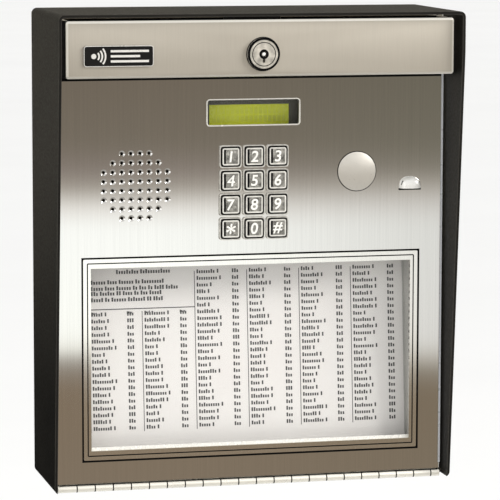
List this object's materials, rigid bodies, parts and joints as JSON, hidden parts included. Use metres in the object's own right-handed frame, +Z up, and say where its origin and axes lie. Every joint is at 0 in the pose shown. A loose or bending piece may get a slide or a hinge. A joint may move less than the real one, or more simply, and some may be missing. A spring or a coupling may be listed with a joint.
{
  "type": "door intercom panel",
  "caption": "Wall-mounted telephone entry panel: dark steel cabinet, drop-down stainless door with display, metal keypad, speaker grille, cam lock and slanted paper directory.",
  "frame": {"origin": "on the wall face, at the centre of the four wall holes", "axes": "+X right seen from the front, +Y into the wall, +Z up; the front faces -Y"},
  "size_m": [0.282, 0.111, 0.3304],
  "materials": {
    "cabinet_paint": "satin dark bronze powder coat",
    "foam": "matte closed-cell foam",
    "zinc_steel": "satin zinc plate",
    "hinge_steel": "satin stainless",
    "pin_steel": "oiled",
    "circuit_board": "green solder mask",
    "terminal_plastic": "moulded",
    "black_plastic": "moulded",
    "capacitor_sleeve": "shrink sleeve",
    "door_steel": "brushed up and down",
    "hood_steel": "fine satin",
    "badge": "satin black",
    "lock_chrome": "polished",
    "clear_lens": "clear",
    "display_trim": "matte black",
    "display_glass": "yellow-green display",
    "keypad_metal": "satin cast metal",
    "key_metal": "bright satin",
    "mat_rubber": "matte",
    "seal_rubber": "black",
    "speaker_frame": "satin black",
    "speaker_paper": "treated paper",
    "magnet": "ferrite and steel",
    "fitting_steel": "satin",
    "capsule_metal": "satin",
    "directory_trim": "satin",
    "tray_steel": "satin grey",
    "directory_paper": "printed sheet"
  },
  "bodies": {
    "cabinet": {"cabinet_shell": "cabinet_paint", "door_ledges": "cabinet_paint", "door_gasket": "foam", "latch_strike": "cabinet_paint", "hinge_cabinet_leaf": "hinge_steel", "hinge_pin": "pin_steel", "main_board": "circuit_board", "board_standoffs": "zinc_steel", "board_screws": "zinc_steel", "terminal_strip": "terminal_plastic", "terminal_screws": "zinc_steel", "relays": "black_plastic", "capacitors": "capacitor_sleeve", "logic_chips": "black_plastic", "board_headers": "black_plastic"},
    "door": {"door_panel": "door_steel", "door_studs": "zinc_steel", "door_nuts": "zinc_steel", "hood_bar": "hood_steel", "badge_plate": "badge", "lock_barrel": "lock_chrome", "lock_nut": "zinc_steel", "display_lens": "clear_lens", "display_bezel": "display_trim", "display_glass": "display_glass", "display_board": "circuit_board", "keypad_frame": "keypad_metal", "keypad_mat": "mat_rubber", "keypad_board": "circuit_board", "speaker_gasket": "foam", "speaker_basket": "speaker_frame", "speaker_cone": "speaker_paper", "speaker_magnet": "magnet", "speaker_clamps": "zinc_steel", "microphone_hood": "fitting_steel", "microphone_capsule": "capsule_metal", "microphone_boot": "mat_rubber", "blank_plug": "fitting_steel", "blank_plug_nut": "zinc_steel", "directory_frame": "directory_trim", "directory_gasket": "seal_rubber", "directory_bezel": "directory_trim", "directory_window": "clear_lens", "directory_sheet": "directory_paper", "directory_tray": "tray_steel", "hinge_door_leaf": "hinge_steel"},
    "lock": {"lock_plug": "lock_chrome", "lock_cam": "zinc_steel"},
    "key_1": {"key_1": "key_metal"},
    "key_2": {"key_2": "key_metal"},
    "key_3": {"key_3": "key_metal"},
    "key_4": {"key_4": "key_metal"},
    "key_5": {"key_5": "key_metal"},
    "key_6": {"key_6": "key_metal"},
    "key_7": {"key_7": "key_metal"},
    "key_8": {"key_8": "key_metal"},
    "key_9": {"key_9": "key_metal"},
    "key_star": {"key_star": "key_metal"},
    "key_0": {"key_0": "key_metal"},
    "key_hash": {"key_hash": "key_metal"}
  },
  "joints": [
    {"name": "door_hinge", "type": "hinge", "parent": "cabinet", "child": "door", "pos_m": [0, -0.0712, -0.1635], "axis": [1, 0, 0], "range_deg": [0, 180]},
    {"name": "lock_turn", "type": "hinge", "parent": "door", "child": "lock", "pos_m": [0, -0.104, 0.1367], "axis": [0, -1, 0], "range_deg": [0, 90]},
    {"name": "press_1", "type": "slide", "parent": "door", "child": "key_1", "axis": [0, 1, 0], "range_m": [0, 0.0012], "stiffness_N_per_m": 300, "springref_m": -0.0012},
    {"name": "press_2", "type": "slide", "parent": "door", "child": "key_2", "axis": [0, 1, 0], "range_m": [0, 0.0012], "stiffness_N_per_m": 300, "springref_m": -0.0012},
    {"name": "press_3", "type": "slide", "parent": "door", "child": "key_3", "axis": [0, 1, 0], "range_m": [0, 0.0012], "stiffness_N_per_m": 300, "springref_m": -0.0012},
    {"name": "press_4", "type": "slide", "parent": "door", "child": "key_4", "axis": [0, 1, 0], "range_m": [0, 0.0012], "stiffness_N_per_m": 300, "springref_m": -0.0012},
    {"name": "press_5", "type": "slide", "parent": "door", "child": "key_5", "axis": [0, 1, 0], "range_m": [0, 0.0012], "stiffness_N_per_m": 300, "springref_m": -0.0012},
    {"name": "press_6", "type": "slide", "parent": "door", "child": "key_6", "axis": [0, 1, 0], "range_m": [0, 0.0012], "stiffness_N_per_m": 300, "springref_m": -0.0012},
    {"name": "press_7", "type": "slide", "parent": "door", "child": "key_7", "axis": [0, 1, 0], "range_m": [0, 0.0012], "stiffness_N_per_m": 300, "springref_m": -0.0012},
    {"name": "press_8", "type": "slide", "parent": "door", "child": "key_8", "axis": [0, 1, 0], "range_m": [0, 0.0012], "stiffness_N_per_m": 300, "springref_m": -0.0012},
    {"name": "press_9", "type": "slide", "parent": "door", "child": "key_9", "axis": [0, 1, 0], "range_m": [0, 0.0012], "stiffness_N_per_m": 300, "springref_m": -0.0012},
    {"name": "press_star", "type": "slide", "parent": "door", "child": "key_star", "axis": [0, 1, 0], "range_m": [0, 0.0012], "stiffness_N_per_m": 300, "springref_m": -0.0012},
    {"name": "press_0", "type": "slide", "parent": "door", "child": "key_0", "axis": [0, 1, 0], "range_m": [0, 0.0012], "stiffness_N_per_m": 300, "springref_m": -0.0012},
    {"name": "press_hash", "type": "slide", "parent": "door", "child": "key_hash", "axis": [0, 1, 0], "range_m": [0, 0.0012], "stiffness_N_per_m": 300, "springref_m": -0.0012}
  ]
}
